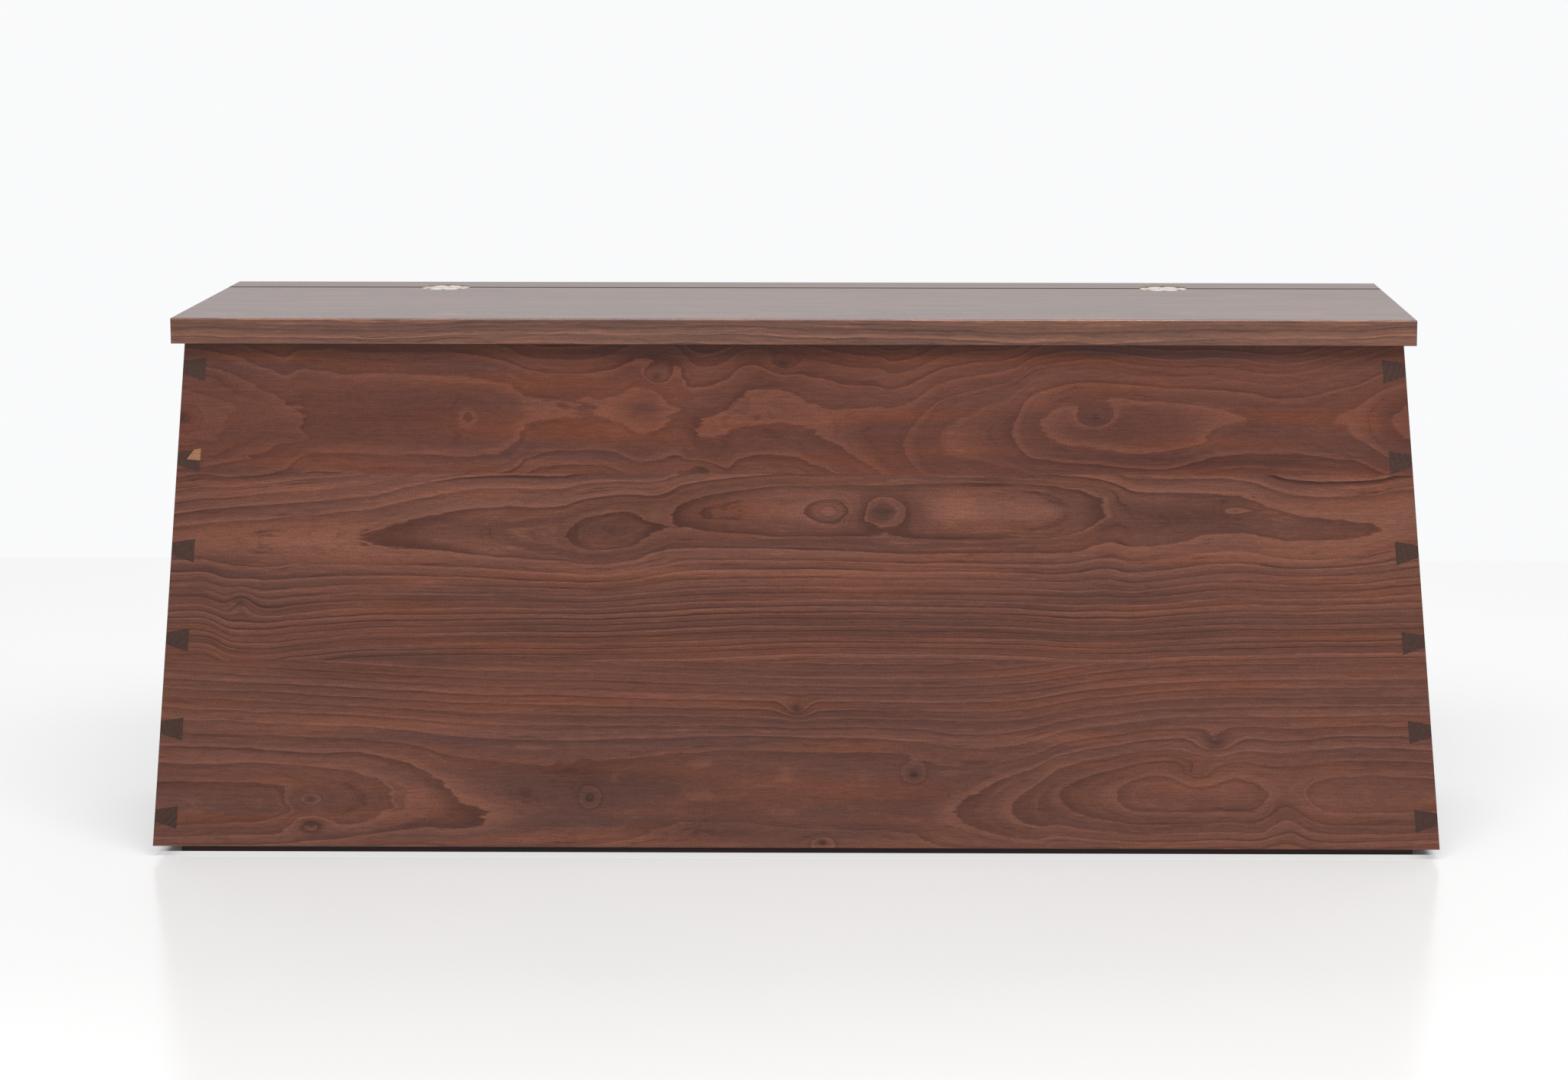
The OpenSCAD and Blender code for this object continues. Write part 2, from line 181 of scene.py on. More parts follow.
def walnut(name, run, base, spacing, far, face, centre=(), count=(), steep=(), sweep=(), reach=60.0, hills=(),
           knots=(), palette=REDDISH, seed=0.0, side=1.0, dark=0.8, light=0.7, lines=0.5, wander=1.0, depth=1.0,
           end_tone=(86, 66, 60), sap=None, tone=1.0, warmth=0.0, ior=1.33, streaks=0.75,
           rub=0.0, painted_top_sheen=None, seam=None, glows=(), shades=()):
    """A flat-sawn board. run is the grain's direction; u runs along it, v across the board, w through it, in mm.

    The growth rings are tubes around a pith that lies far below the face w = face. base is where the board's middle
    line is. Each curve below is a list of (u, value): centre is the height v of the middle line, count the number of
    rings cut through on it, steep how fast the rings close up either side of it, and sweep the drift of the far
    rings. hills are (u, v, radius_u, radius_v, rings) and knots (u, v, radius_u, radius_v, darkness); glows and
    shades are (u, v, radius_u, radius_v, strength) areas of paler and darker heartwood, though a glow can also be a
    painted light along an edge. side is 1 where each ring ends in a dark line towards the middle, -1 where it ends in
    one away from it. rub makes the face smoother, painted_top_sheen is the grey that the upward face is painted
    towards, a painted sheen standing in for the grazing reflection of the bright room, and seam is the v of a joint
    beside which the face is rougher and painted dark, a painted shade standing in for the shadow in the gap."""
    g = Graph(name)
    where = g.node("ShaderNodeTexCoord")
    parts = g.node("ShaderNodeSeparateXYZ")
    g.put(parts.inputs[0], where.outputs["Object"])
    a = AXES[run]
    join = g.node("ShaderNodeCombineXYZ")
    for i in range(3):
        g.put(join.inputs[i], parts.outputs[a[i]])
    p = g.vec("SCALE", join.outputs[0])
    p.node.inputs["Scale"].default_value = 1000.0          # millimetres from here on
    q = g.vec("ADD", p, (seed * 137.0, seed * 71.0, seed * 53.0))

    # the rings wander, at three sizes
    slow = g.noise(g.scaled(q, 0.009, 0.03, 0.02), 1.0, 2.0, 0.5)
    mid = g.noise(g.scaled(q, 0.020, 0.085, 0.06), 1.0, 2.0, 0.5, 0.3)
    fine = g.noise(g.scaled(q, 0.07, 0.5, 0.3), 1.0, 2.0, 0.55)
    sep = g.node("ShaderNodeSeparateXYZ")
    g.put(sep.inputs[0], p)
    u, v, w = sep.outputs
    u2 = g.math("MULTIPLY_ADD", g.math("SUBTRACT", mid, 0.5), 19.0 * wander, u)
    v2 = g.math("MULTIPLY_ADD", g.math("SUBTRACT", slow, 0.5), 9.0 * wander, v)
    near = g.math("DIVIDE", g.math("SUBTRACT", v2, base), reach)
    near = g.math("EXPONENT", g.math("MULTIPLY", g.math("MULTIPLY", near, near), -1.0))
    middle = g.curve(u2, centre, base)
    drift = g.curve(u2, sweep, 0.0)
    outer = g.math("ADD", drift, base)
    middle = g.math("MULTIPLY_ADD", g.math("SUBTRACT", middle, outer), near, outer)
    dv = g.math("SUBTRACT", v2, middle)
    dh = g.math("MULTIPLY_ADD", g.math("SUBTRACT", w, face), depth, far)
    r = g.math("SQRT", g.math("MULTIPLY_ADD", dv, dv, g.math("MULTIPLY", dh, dh)))
    close = g.math("MULTIPLY_ADD", g.math("SUBTRACT", g.curve(u2, steep, 1.0), 1.0), near, 1.0)
    ring = g.math("MULTIPLY", g.math("MULTIPLY", g.math("SUBTRACT", r, far), 1.0 / spacing), close)
    ring = g.math("MULTIPLY_ADD", g.curve(u2, count, 0.0), near, ring)
    p2 = g.node("ShaderNodeCombineXYZ")
    g.put(p2.inputs[0], u2)
    g.put(p2.inputs[1], v2)
    for h in hills:
        ring = g.hill(p2.outputs[0], (h[0], h[1]), (h[2], h[3]), h[4], ring)
    spots = None
    for k in knots:
        ring = g.hill(p2.outputs[0], (k[0], k[1]), (k[2] * 2.4, k[3] * 2.4), 1.5, ring)
        spots = g.hill(p, (k[0], k[1]), (k[2], k[3]), k[4], 0.0 if spots is None else spots)
    ring = g.math("MULTIPLY_ADD", g.math("SUBTRACT", mid, 0.5), 0.9 * wander, ring)
    ring = g.math("MULTIPLY_ADD", g.math("SUBTRACT", fine, 0.5), 0.16, ring)
    ring = g.math("MULTIPLY_ADD", ring, side, 60.0 + seed)
    t = g.math("FRACT", ring)
    index = g.math("FLOOR", ring)
    chance = g.white(index, 3.7 + seed)
    chance2 = g.white(index, 91.3 + seed)

    # one ring: a light early edge, a long middle, and a thin dark late line; and thinner lines between
    late = g.math("MULTIPLY", g.span(t, 0.45, 0.955), g.span(t, 0.965, 1.0, 1.0, 0.0))
    early = g.math("ADD", g.span(t, 0.0, 0.42, 1.0, 0.0), g.span(t, 0.975, 1.0))
    late = g.math("POWER", late, 2.2)
    patch = g.spread(g.noise(g.scaled(q, 0.006, 0.03, 0.03, (9.1, 3.3, 1.7)), 1.0, 1.0), 0.30, 1.20)
    late = g.math("MULTIPLY", g.math("MULTIPLY", late, patch), g.math("MULTIPLY_ADD", chance, 0.9, 0.30))
    early = g.math("MULTIPLY", early, g.math("MULTIPLY_ADD", chance2, 0.9, 0.20))
    lane = g.node("ShaderNodeCombineXYZ")
    g.put(lane.inputs[0], g.math("MULTIPLY", u, 0.017))
    g.put(lane.inputs[1], g.math("MULTIPLY", ring, 3.4))
    lane.inputs[2].default_value = 5.5 + seed
    thin = g.noise(lane.outputs[0], 1.0, 4.0, 0.74)
    wide = g.noise1(g.math("MULTIPLY_ADD", ring, 0.47, 31.0), 1.0, 0.5)

    c = {k: albedo([x * tone for x in rgb]) for k, rgb in palette.items()}
    c["glow"] = albedo([(0.55 * a + 0.45 * b) * tone for a, b in zip(palette["light"], palette["warm"])])
    broad = g.noise(g.scaled(q, 0.0035, 0.028, 0.028, (4.4, 8.8, 2.2)), 1.0, 2.0, 0.55)
    color = g.mix(g.spread(broad, 0.0, 1.0), c["cool"], c["mid"])
    drift2 = g.noise(g.scaled(q, 0.006, 0.06, 0.06, (14.4, 1.8, 7.2)), 1.0, 1.0)
    color = g.mix(g.spread(drift2, -0.5 + warmth, 0.75 + warmth), color, c["warm"])
    for areas, shade in ((glows, c["glow"]), (shades, c["dark"])):
        total = None
        for k in areas:
            total = g.hill(p2.outputs[0], (k[0], k[1]), (k[2], k[3]), k[4], 0.0 if total is None else total)
        if total is not None:
            color = g.mix(g.math("MULTIPLY", total, g.spread(drift2, 0.7, 1.2), clamp=True), color, shade)
    color = g.mix(g.math("MULTIPLY", early, light), color, c["light"])
    color = g.mix(g.span(wide, 0.52, 0.75, 0.0, 0.50 * lines), color, c["light"])
    color = g.mix(g.span(wide, 0.48, 0.25, 0.0, 0.45 * lines), color, c["dark"])
    color = g.mix(g.span(thin, 0.53, 0.72, 0.0, 0.75 * lines), color, c["light"])
    color = g.mix(g.span(thin, 0.46, 0.30, 0.0, 1.10 * lines), color, c["dark"])
    color = g.mix(g.math("MULTIPLY", late, dark), color, c["dark"])
    if sap is not None:                                      # a strip of sapwood, on one side of a plane in x and z
        co = g.vec("DOT_PRODUCT", where.outputs["Object"], (sap[0], 0.0, sap[1]))
        edge = g.span(g.math("SUBTRACT", co, sap[2]), -0.0003, 0.0004)
        color = g.mix(edge, color, albedo((172, 122, 92)))

    # fibres: long thin streaks; pores: short dark dashes along the grain, dots on the end grain
    fibre = g.noise(g.scaled(q, 0.012, 0.62, 0.62), 1.0, 3.0, 0.66)
    streak = g.noise(g.scaled(q, 0.075, 1.25, 1.25, (3.0, 5.0, 7.0)), 1.0, 2.0, 0.6)
    fleck = g.noise(g.scaled(q, 1.05, 2.0, 2.0), 1.0, 2.0, 0.8)
    pore = g.span(fleck, 0.54, 0.68)
    bright = g.math("MULTIPLY", g.spread(fibre, 1.0 - 0.15 * streaks, 1.0 + 0.13 * streaks), g.spread(fleck, 1.42, 0.70))
    bright = g.math("MULTIPLY", bright, g.spread(streak, 1.0 - 0.17 * streaks, 1.0 + 0.15 * streaks))
    dash = g.noise(g.scaled(q, 0.14, 0.75, 0.75, (6.0, 1.0, 2.0)), 1.0, 2.0, 0.7)
    bright = g.math("MULTIPLY", bright, g.spread(dash, 0.87, 1.12))
    tint = g.node("ShaderNodeCombineColor")
    for i in range(3):
        g.put(tint.inputs[i], bright)
    color = g.mix(1.0, color, tint.outputs[0], "MULTIPLY")
    color = g.mix(g.math("MULTIPLY", pore, 0.40), color, albedo((54, 37, 33)))
    if spots is not None:
        ragged = g.math("MULTIPLY", spots, g.spread(fine, 0.55, 1.35))
        color = g.mix(g.math("MULTIPLY", ragged, 0.85, clamp=True), color, albedo((46, 33, 30)))

    # end grain drinks more oil: darker and greyer, and the rings show as arcs
    axis = {"x": (1, 0, 0), "top": (1, 0, 0), "y": (0, 1, 0)}[run]
    facing = g.math("ABSOLUTE", g.vec("DOT_PRODUCT", where.outputs["Normal"], axis))
    ends = g.span(facing, 0.55, 0.9)
    grit = g.noise(g.scaled(q, 0.9, 0.9, 0.9), 1.0, 3.0, 0.7)
    end_color = g.mix(g.spread(grit, 0.0, 1.0), albedo([x * 0.86 for x in end_tone]), albedo([x * 1.12 for x in end_tone]))
    end_color = g.mix(g.math("MULTIPLY", late, 0.55), end_color, albedo([x * 0.75 for x in end_tone]))
    if sap is not None:
        end_color = g.mix(edge, end_color, g.mix(g.spread(grit, 0.0, 1.0), albedo((150, 106, 80)), albedo((190, 140, 108))))
    color = g.mix(ends, color, end_color)
    # painted sheen: the upward face is painted towards a cool grey, standing in for the grazing reflection of the
    # bright room
    if painted_top_sheen is not None:
        top_sheen_mask = g.span(g.vec("DOT_PRODUCT", where.outputs["Normal"], (0, 0, 1)), 0.90, 0.99, 0.0, 0.45)
        color = g.mix(top_sheen_mask, color, albedo(painted_top_sheen))

    rough = g.math("MULTIPLY_ADD", pore, 0.14, g.spread(fibre, 0.37 - rub, 0.47 - rub))
    rough = g.math("MULTIPLY_ADD", ends, 0.12, rough)
    # painted shade: beside the joint the face is painted dark, standing in for the shadow in the gap, and made rougher
    if seam is not None:
        seam_shade = g.span(g.math("ABSOLUTE", g.math("SUBTRACT", v, seam)), 3.5, 2.9)
        color = g.mix(g.math("MULTIPLY", seam_shade, 0.8), color, albedo((50, 37, 33)))
        rough = g.math("MULTIPLY_ADD", seam_shade, 0.4, rough)
    height = g.math("SUBTRACT", g.math("MULTIPLY", fibre, 0.5), g.math("MULTIPLY_ADD", pore, 0.8, g.math("MULTIPLY", late, 0.35)))
    return g.finish(color, rough, height, 0.28, 0.00012, ior=ior)


def metal(name, rgb, rough=(0.22, 0.34), brushed=(0.6, 6.0, 6.0), shaded_sockets=(), rim=(1.0, 1.0, 1.0)):
    """Plated steel. shaded_sockets are the centres, in mm, of the recesses in a set of screw heads, where the colour is
    painted near black, a painted shade in each recess, and the finish is rougher.
    """
    g = Graph(name)
    where = g.node("ShaderNodeTexCoord")
    p = g.vec("SCALE", where.outputs["Object"])
    p.node.inputs["Scale"].default_value = 1000.0
    lines = g.noise(g.scaled(p, *brushed), 1.0, 3.0, 0.6)
    cloud = g.noise(g.scaled(p, 0.12, 0.12, 0.12), 1.0, 2.0)
    c = linear(rgb)
    color = g.mix(g.spread(cloud, 0.0, 1.0), [x * 0.90 for x in c], [min(1.0, x * 1.06) for x in c])
    color = g.mix(g.spread(lines, 0.0, 0.30), color, [x * 0.78 for x in c])
    r = g.math("ADD", g.spread(lines, rough[0], rough[1]), g.spread(cloud, -0.03, 0.04))
    # painted shade: each screw head's recess is painted near black and made rough
    for x, y in shaded_sockets:
        away = g.vec("LENGTH", g.vec("MULTIPLY_ADD", p, (1.0, 1.0, 0.0), (-x, -y, 0.0)))
        color = g.mix(g.span(away, 1.9, 1.2), color, [x * 0.10 for x in c])
        r = g.math("MAXIMUM", r, g.span(away, 1.9, 1.2, 0.0, 0.9))
    return g.finish(color, r, lines, 0.10, 0.00003, metallic=1.0, ior=1.5, Specular_Tint=tuple(rim) + (1.0,))


def paint(node, material):
    o = nodes[node]
    o.data.materials.clear()
    o.data.materials.append(material)


FRONT = -110.0    # the front wall's outer face, and the back wall's is its mirror

# The front boards' tone rises towards the bottom (1.02, 1.055, 1.07): painted light, making up for the lamp's light
# falling off lower down.
paint("front_board_top", walnut(
    "walnut_front_top", "x", 314, 5.0, 96, FRONT, reach=400, seed=1.0, side=-1.0, dark=0.40, light=0.42, lines=0.36, tone=1.02,
    wander=0.55, streaks=0.7,
    glows=[(-350, 318, 60, 18, 0.30), (-150, 318, 40, 6, 0.45), (-82, 320, 9, 14, 0.55), (-120, 306, 12, 6, 0.4),
           (-45, 312, 22, 10, 0.55), (0, 325, 26, 7, 0.35), (105, 338, 45, 12, 0.35), (118, 298, 16, 14, 0.5),
           (172, 328, 16, 16, 0.35), (300, 344, 130, 14, 0.35), (390, 314, 30, 12, 0.35), (-250, 282, 130, 5, 0.4)],
    shades=[(-100, 356, 70, 7, 0.5), (20, 350, 55, 12, 0.35), (-260, 318, 50, 14, 0.22), (-330, 306, 34, 9, 0.3),
            (215, 308, 45, 10, 0.25), (280, 284, 130, 5, 0.55), (60, 300, 24, 14, 0.2), (-105, 321, 12, 9, 0.25)],
    centre=[(-460, 316), (-395, 315), (-356, 312), (-338, 320), (-300, 317), (-228, 316), (-200, 315), (-180, 318),
            (-150, 319), (-105, 320), (-83, 320), (-66, 306), (-40, 316), (-15, 320), (10, 314), (30, 308), (60, 301),
            (77, 296), (102, 299), (152, 306), (200, 311), (250, 308), (302, 312), (340, 310), (380, 312), (460, 314)],
    count=[(-460, 0.1), (-410, 0.6), (-390, 1.0), (-365, 1.55), (-342, 2.0), (-310, 2.2), (-250, 2.27), (-228, 2.3),
           (-205, 2.45), (-192, 2.68), (-180, 2.93), (-150, 2.985), (-125, 2.92), (-105, 2.74), (-90, 2.9), (-83, 3.0),
           (-74, 3.08), (-66, 3.0), (-45, 2.87), (-15, 2.84), (10, 2.92), (30, 2.8), (60, 2.35), (77, 2.0), (102, 1.0),
           (130, 0.5), (152, 0.0), (172, -1.0), (235, -1.6), (302, -1.0), (340, -0.75), (380, -1.0), (415, -2.0),
           (460, -2.8)],
    steep=[(-460, 1.2), (-350, 1.1), (-250, 0.9), (-200, 1.0), (-150, 1.5), (-120, 1.2), (-90, 1.0), (-60, 1.1),
           (0, 1.2), (77, 1.2), (152, 1.6), (250, 1.9), (302, 2.0), (380, 1.6), (460, 1.4)],
    hills=[(-228, 314.5, 9, 8, 0.9), (-344, 300, 12, 3.5, -0.5), (-99, 338, 9, 7, -0.25)],
    knots=[(209.4, 316.5, 5, 3, 0.9), (-95.3, 344, 4, 3, 0.7), (-7.7, 352.8, 5, 3, 0.6), (-424, 314, 5, 4, 0.8),
           (-65, 278.5, 5, 2.5, 0.6)]))
paint("front_board_middle", walnut(
    "walnut_front_middle", "x", 244, 3.7, 45, FRONT, reach=48, seed=2.0, dark=0.72, light=0.48, lines=0.62, tone=1.055, palette=WARMER,
    wander=0.42, warmth=0.1,
    glows=[(400, 210, 110, 60, 0.22), (-345, 226, 75, 12, 0.75), (-215, 224, 36, 9, 0.55), (-300, 262, 140, 8, 0.55), (20, 262, 60, 6, 0.5),
           (115, 252, 14, 12, 0.5), (24, 249, 10, 6, 0.45), (250, 262, 40, 6, 0.3), (60, 205, 150, 4, 0.5),
           (330, 218, 80, 6, 0.5), (-60, 206, 100, 3, 0.5)],
    shades=[(-275, 236, 26, 9, 0.35), (-175, 230, 22, 10, 0.45), (-120, 238, 24, 9, 0.30), (-100, 252, 14, 4, 0.5),
            (214, 244, 7, 12, 0.4), (135, 269, 16, 4, 0.6), (285, 246, 40, 7, 0.35), (0, 172, 330, 12, 0.22),
            (-395, 212, 26, 8, 0.3)],
    centre=[(-460, 226), (-400, 230), (-303, 232), (-230, 236), (-161, 233), (-120, 236), (-95, 240), (-60, 248),
            (0, 250), (60, 250), (150, 251), (190, 250), (214, 251), (240, 244), (300, 247), (360, 238), (420, 244),
            (460, 250)],
    count=[(-460, 2.9), (-400, 2.6), (-330, 2.3), (-303, 2.12), (-260, 1.8), (-200, 1.3), (-161, 1.05), (-125, 0.55),
           (-100, 0.98), (-92, 1.03), (-80, 0.85), (-40, 0.4), (0, 0.15), (60, 0.05), (150, 0.0), (190, 0.35),
           (205, 0.7), (217, 1.0), (235, 1.25), (290, 1.45), (360, 1.8), (460, 2.2)],
    steep=[(-460, 1.3), (-303, 1.1), (-161, 0.8), (-100, 0.9), (0, 0.9), (100, 0.8), (200, 0.8), (300, 1.0),
           (460, 1.1)],
    sweep=[(-460, -6), (-420, -4), (-388, -13), (-350, -10), (-250, -4), (-100, -2), (50, 2), (150, 1), (220, -2),
           (260, 0), (350, 3), (460, 4)],
    hills=[(24, 249, 12, 8, -1.0), (308, 250, 16, 4, 0.5), (-98, 253, 10, 4, -0.4)],
    knots=[(63.3, 249.1, 9, 5, 0.5), (-388, 183.3, 4, 4, 0.5)]))
paint("front_board_bottom", walnut(
    "walnut_front_bottom", "x", 42, 4.5, 60, FRONT, reach=46, seed=3.0, dark=0.50, light=0.40, lines=0.46, tone=1.07, palette=WARMER,
    wander=0.42,
    # the first glow, a paler strip along the whole bottom edge near the floor, is painted light, not heartwood
    glows=[(0, 11, 900, 5, 0.4), (360, 60, 120, 60, 0.28), (-380, 70, 90, 60, 0.15), (-250, 44, 34, 16, 0.35), (-130, 17, 70, 5, 0.45), (-330, 96, 120, 5, 0.4), (300, 56, 26, 9, 0.45),
           (370, 42, 14, 9, 0.35), (180, 88, 70, 4, 0.4), (-100, 78, 90, 4, 0.3)],
    shades=[(-130, 58, 70, 14, 0.30), (110, 44, 60, 14, 0.28), (-60, 18, 60, 8, 0.28), (150, 26, 26, 9, 0.3),
            (20, 108, 60, 10, 0.2), (-300, 134, 60, 8, 0.3)],
    centre=[(-460, 36), (-328, 41), (-282, 44), (-226, 37), (-100, 46), (0, 52), (80, 48), (115, 39), (152, 38),
            (187, 46), (225, 47), (300, 50), (345, 44), (380, 48), (460, 48)],
    count=[(-460, -0.8), (-380, -0.5), (-328, 0.0), (-282, 1.0), (-226, 2.0), (-150, 2.5), (0, 2.7), (70, 2.5),
           (115, 2.0), (152, 1.0), (187, 0.0), (225, -1.0), (270, -1.7), (345, -1.4), (400, -1.6), (460, -1.4)],
    steep=[(-460, 1.3), (-328, 1.2), (-226, 0.9), (-100, 0.75), (50, 0.75), (115, 1.1), (225, 1.5), (345, 1.4),
           (460, 1.5)],
    sweep=[(-460, 14), (-300, 6), (-100, -1), (40, -4), (120, -2), (220, 8), (300, 13), (460, 15)],
    hills=[(347, 26, 16, 24, 1.6), (284, 62, 16, 10, 1.2), (20, 30, 60, 9, -0.7)],
    knots=[(-343, 42.1, 6, 3, 0.8), (-342.3, 24.3, 6, 3, 0.8), (1, 108.2, 4, 3, 0.7), (83.8, 61.6, 3.4, 3, 0.9),
           (-145.1, 43.8, 3, 3, 0.7), (19, 12.1, 3.4, 2, 0.8), (295.2, 83.2, 6, 4, 0.5)]))

paint("back_board_top", walnut(
    "walnut_back_top", "x", 320, 5.0, 80, 110, depth=-1.0, seed=4.0, side=-1.0, dark=0.6, light=0.55, lines=0.4,
    centre=[(-460, 314), (-200, 322), (0, 316), (220, 326), (460, 318)],
    count=[(-460, -1.0), (-330, 0.0), (-210, 1.6), (-60, 2.4), (90, 1.2), (210, -0.6), (330, 0.2), (460, 1.2)],
    steep=[(-460, 1.4), (-60, 1.0), (210, 1.5), (460, 1.1)]))
paint("back_board_middle", walnut(
    "walnut_back_middle", "x", 214, 4.2, 40, 110, depth=-1.0, seed=5.0, dark=0.75, light=0.6, lines=0.6,
    centre=[(-460, 208), (-260, 216), (-40, 210), (180, 220), (460, 212)],
    count=[(-460, 0.2), (-330, 1.4), (-240, 2.6), (-60, 1.5), (60, 0.4), (200, -1.0), (330, 0.6), (460, 2.0)],
    steep=[(-460, 1.0), (0, 0.8), (460, 1.2)], knots=[(-262, 220, 4, 3, 0.7)]))
paint("back_board_bottom", walnut(
    "walnut_back_bottom", "x", 82, 4.6, 50, 110, depth=-1.0, seed=6.0, dark=0.65, light=0.5, lines=0.5,
    centre=[(-460, 88), (-160, 78), (120, 90), (460, 80)],
    count=[(-460, 2.6), (-300, 1.4), (-160, -0.6), (-20, -1.4), (120, 0.2), (300, 2.0), (460, 2.8)],
    steep=[(-460, 0.9), (-60, 1.3), (460, 0.9)]))

# the side walls: grain front to back, so their pins show end grain on the front and back
paint("left_side_board_top", walnut(
    "walnut_left_top", "y", 328, 3.8, 44, -425, seed=7.0, palette=DARKER, sap=(0.78, -0.626, -0.5083),
    centre=[(-120, 322), (0, 330), (120, 326)], count=[(-120, 0.4), (-40, 1.4), (60, 2.2), (120, 1.6)]))
paint("left_side_board_middle", walnut(
    "walnut_left_middle", "y", 214, 3.8, 40, -436, seed=8.0, palette=DARKER,
    centre=[(-120, 208), (0, 218), (120, 212)], count=[(-120, 1.8), (-60, 1.0), (0, -0.8), (50, 0.4), (120, 2.0)]))
paint("left_side_board_bottom", walnut(
    "walnut_left_bottom", "y", 72, 3.8, 36, -450, seed=9.0, palette=DARKER,
    centre=[(-120, 70), (20, 76), (120, 68)], count=[(-120, -1.4), (-30, 0.4), (40, 1.6), (120, 2.4)]))
paint("right_side_board_top", walnut(
    "walnut_right_top", "y", 324, 3.8, 44, 425, depth=-1.0, seed=10.0, palette=DARKER,
    centre=[(-120, 326), (0, 320), (120, 328)], count=[(-120, 2.2), (-20, 1.0), (60, -0.4), (120, -1.4)]))
paint("right_side_board_middle", walnut(
    "walnut_right_middle", "y", 224, 3.8, 38, 436, depth=-1.0, seed=11.0, palette=DARKER,
    centre=[(-120, 230), (0, 220), (120, 226)], count=[(-120, -0.8), (-40, 0.6), (30, 1.8), (120, 0.6)]))
paint("right_side_board_bottom", walnut(
    "walnut_right_bottom", "y", 84, 3.8, 36, 450, depth=-1.0, seed=12.0, palette=DARKER,
    centre=[(-120, 80), (0, 90), (120, 82)], count=[(-120, 1.8), (-40, 0.2), (30, -1.2), (120, 0.8)]))

# lid and rail: a browner board than the walls
# their upward faces carry a painted sheen, greyed towards (76, 70, 70)
TOP = dict(palette=BROWN, ior=1.5, rub=0.07, dark=0.75, light=0.55, streaks=1.1, tone=1.06, painted_top_sheen=(76, 70, 70))
paint("lid_front_board", walnut(
    "walnut_lid_front", "top", -84, 4.2, 40, 385, reach=26, seed=13.0, lines=0.85, **TOP,
    glows=[(340, -118, 260, 60, 0.22)],
    centre=[(-440, -92), (-200, -84), (0, -90), (200, -80), (440, -86)],
    count=[(-440, 0.6), (-300, 2.0), (-170, -0.4), (0, 1.2), (160, 2.6), (300, 0.6), (440, -0.8)]))
paint("lid_rear_board", walnut(
    "walnut_lid_rear", "top", 36, 4.4, 44, 385, reach=40, seed=14.0, lines=0.6, seam=78.7, **TOP,
    centre=[(-440, 30), (-150, 40), (120, 30), (440, 38)],
    count=[(-440, -0.8), (-260, 0.8), (-80, 2.4), (120, 0.4), (260, -1.2), (440, 0.8)]))
paint("hinge_rail", walnut("walnut_rail", "top", 170, 4.0, 40, 385, seed=15.0, lines=0.6, seam=78.7, **dict(TOP, ior=1.46)))
paint("bottom_panel", walnut(
    "walnut_panel", "top", 6, 4.6, 40, 23, seed=16.0, palette=BROWN,
    centre=[(-440, 0), (0, 12), (440, 2)], count=[(-440, 2.2), (-160, 0.4), (60, -1.2), (240, 0.8), (440, 2.2)]))
for i, n in enumerate(("plinth_front", "plinth_back")):
    paint(n, walnut("walnut_" + n, "x", -30, 3.0, 30, 0, seed=17.0 + i, palette=DARKER, tone=0.72))
for i, n in enumerate(("plinth_left", "plinth_right")):
    paint(n, walnut("walnut_" + n, "y", -30, 3.0, 30, 0, seed=19.0 + i, palette=DARKER, tone=0.72))


def beech():
    g = Graph("beech")
    where = g.node("ShaderNodeTexCoord")
    p = g.vec("SCALE", where.outputs["Object"])
    p.node.inputs["Scale"].default_value = 1000.0
    streak = g.noise(g.scaled(p, 1.4, 1.4, 0.05), 1.0, 3.0, 0.6)
    color = g.mix(g.spread(streak, 0.0, 1.0), albedo((176, 136, 100)), albedo((214, 176, 138)))
    return g.finish(color, g.spread(streak, 0.5, 0.62), streak, 0.2, 0.0001)


paint("rail_dowels", beech())
nickel = metal("nickel_plate", (200, 192, 184))
zinc = metal("zinc_steel", (168, 168, 170), (0.28, 0.42))
for n in nodes:
    if n.endswith("_leaf") or n.endswith("_link"):
        paint(n, nickel)
    elif n.endswith("_pin") or n == "plinth_screws":
        paint(n, zinc)
    elif n.endswith("_screws"):
        side, way = (-1 if n.startswith("left") else 1), (-1 if "front" in n else 1)
        heads = [(side * 267.5 + x, 78.7 + way * y) for x, y in ((-11.5, 8.0), (0.0, 13.6), (11.5, 8.0))]
        paint(n, metal(n, (208, 174, 108), (0.26, 0.40), (3.0, 3.0, 3.0), heads, (0.72, 0.52, 0.26)))

# ---------------------------------------------------------------- stage
def plane(name, corners):
    me = bpy.data.meshes.new(name)
    me.from_pydata(corners, [], [tuple(range(len(corners)))])
    o = bpy.data.objects.new(name, me)
    bpy.context.scene.collection.objects.link(o)
    return o


floor = plane("floor", [(-6, -6, 0), (6, -6, 0), (6, 1.02, 0), (-6, 1.02, 0)])
g = Graph("pale_floor")
where = g.node("ShaderNodeTexCoord")
cloud = g.noise(where.outputs["Object"], 1.4, 2.0)
grain = g.noise(where.outputs["Object"], 220.0, 2.0)
color = g.mix(g.spread(cloud, 0.0, 1.0), (0.330, 0.330, 0.331), (0.344, 0.344, 0.345))
# painted light: the floor glows a little all round, as if lit from low down; the glow is cut under the chest, a painted
# shadow, and raised along its front, a painted light where the chest's contact shadow falls
parts = g.node("ShaderNodeSeparateXYZ")
g.put(parts.inputs[0], where.outputs["Object"])
side = g.math("ABSOLUTE", parts.outputs[0])
ahead = parts.outputs[1]
# painted shadow: the glow is cut beneath the chest's footprint
under = g.math("MULTIPLY", g.span(side, 0.4540, 0.4460), g.span(g.math("ABSOLUTE", ahead), 0.0950, 0.0930))
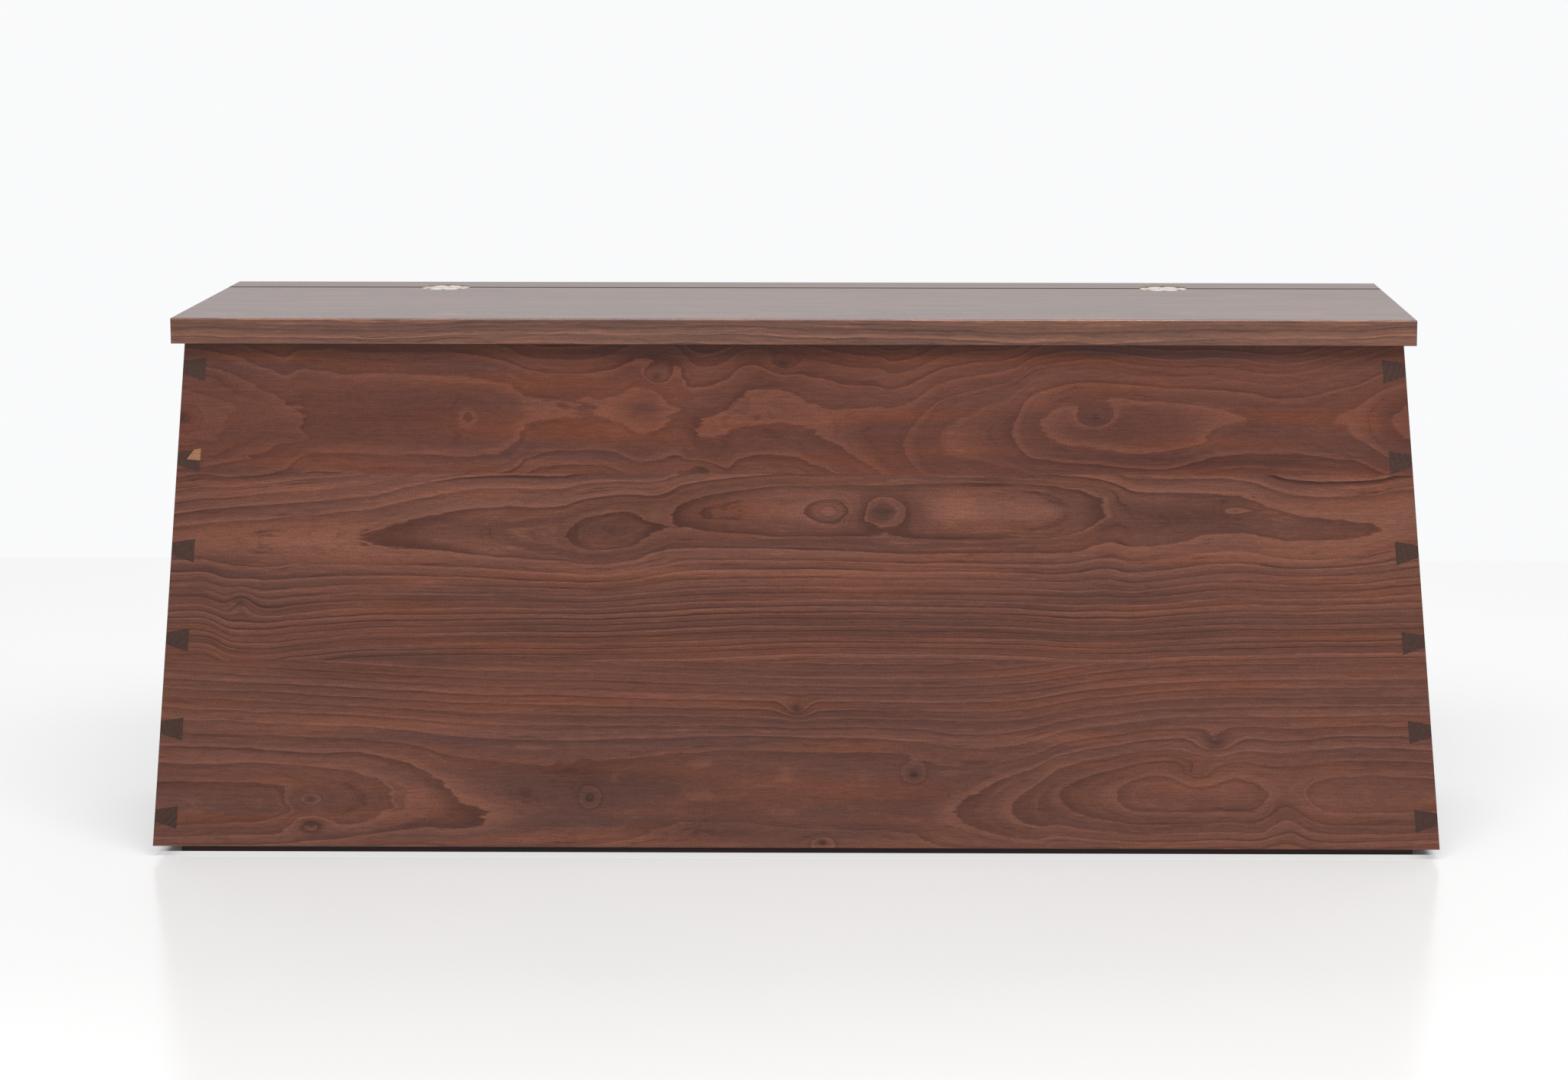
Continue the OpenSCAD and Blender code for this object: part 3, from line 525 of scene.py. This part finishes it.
# painted light: a strip of extra glow along the chest's front, where its contact shadow falls
along = g.math("MULTIPLY", g.span(side, 0.462, 0.430), g.span(ahead, -0.0932, -0.0942))
along = g.math("MULTIPLY", along, g.span(ahead, -0.1100, -0.1010))
glow = g.math("MULTIPLY_ADD", along, 0.425, g.math("MULTIPLY_ADD", under, -0.26, 0.28))
shine = g.node("ShaderNodeCombineColor")
for i in range(3):
    g.put(shine.inputs[i], glow)
floor.data.materials.append(g.finish(color, g.spread(grain, 0.16, 0.22), ior=1.20, Emission_Strength=1.0))
floor_shader = g.tree.nodes["Principled BSDF"]
g.put(floor_shader.inputs["Emission Color"], shine.outputs[0])

world = bpy.data.worlds.new("studio")                  # bright walls, a darker ceiling
world.use_nodes = True
bpy.context.scene.world = world
tree = world.node_tree
bg = tree.nodes["Background"]
sky = tree.nodes.new("ShaderNodeTexCoord")
height = tree.nodes.new("ShaderNodeSeparateXYZ")
fade = tree.nodes.new("ShaderNodeMapRange")
fade.interpolation_type = "SMOOTHSTEP"
fade.inputs["From Min"].default_value, fade.inputs["From Max"].default_value = 0.42, 0.85
tint = tree.nodes.new("ShaderNodeMix")
tint.data_type = "RGBA"
tint.inputs[6].default_value = (0.955, 0.958, 0.968, 1.0)
tint.inputs[7].default_value = (0.26, 0.262, 0.267, 1.0)
tree.links.new(sky.outputs["Generated"], height.inputs[0])
tree.links.new(height.outputs["Z"], fade.inputs["Value"])
tree.links.new(fade.outputs["Result"], tint.inputs[0])
tree.links.new(tint.outputs[2], bg.inputs["Color"])
bg.inputs["Strength"].default_value = 1.0


def softbox(name, at, aim, size, watts, color=(1, 1, 1)):
    light = bpy.data.lights.new(name, "AREA")
    light.shape = "RECTANGLE"
    light.size, light.size_y = size
    light.energy = watts
    light.color = color
    o = bpy.data.objects.new(name, light)
    o.location = at
    o.rotation_euler = (Vector(aim) - Vector(at)).to_track_quat("-Z", "Y").to_euler()
    bpy.context.scene.collection.objects.link(o)
    return o


softbox("key", (0.22, -1.55, 2.50), (0.0, -0.10, 0.25), (2.4, 1.15), 138.0, (1.0, 0.985, 0.97))
softbox("rear", (0.0, 2.1, 2.4), (0.0, 0.7, 0.0), (5.0, 1.6), 60.0)

# ---------------------------------------------------------------- camera
yaw, pitch, roll = (math.radians(a) for a in (-0.401, 7.842, 0.064))
forward = Vector((math.sin(yaw) * math.cos(pitch), math.cos(yaw) * math.cos(pitch), -math.sin(pitch)))
right = Vector((math.cos(yaw), -math.sin(yaw), 0.0))
up = right.cross(forward)
x_axis = right * math.cos(roll) + up * math.sin(roll)
y_axis = up * math.cos(roll) - right * math.sin(roll)
cam = bpy.data.cameras.new("camera")
cam.lens = 78.877
cam.sensor_width = 36.0
cam.shift_x, cam.shift_y = -0.0840, -0.1000
cam.clip_start, cam.clip_end = 0.05, 60.0
cam_object = bpy.data.objects.new("camera", cam)
bpy.context.scene.collection.objects.link(cam_object)
m = Matrix((x_axis, y_axis, -forward)).transposed().to_4x4()
m.translation = Vector((101.1, -2468.2, 664.3)) * MM
cam_object.matrix_world = m
bpy.context.scene.camera = cam_object

view = bpy.context.scene.view_settings
view.view_transform = "Standard"
view.look = "None"
view.exposure = 0.0
view.gamma = 1.0
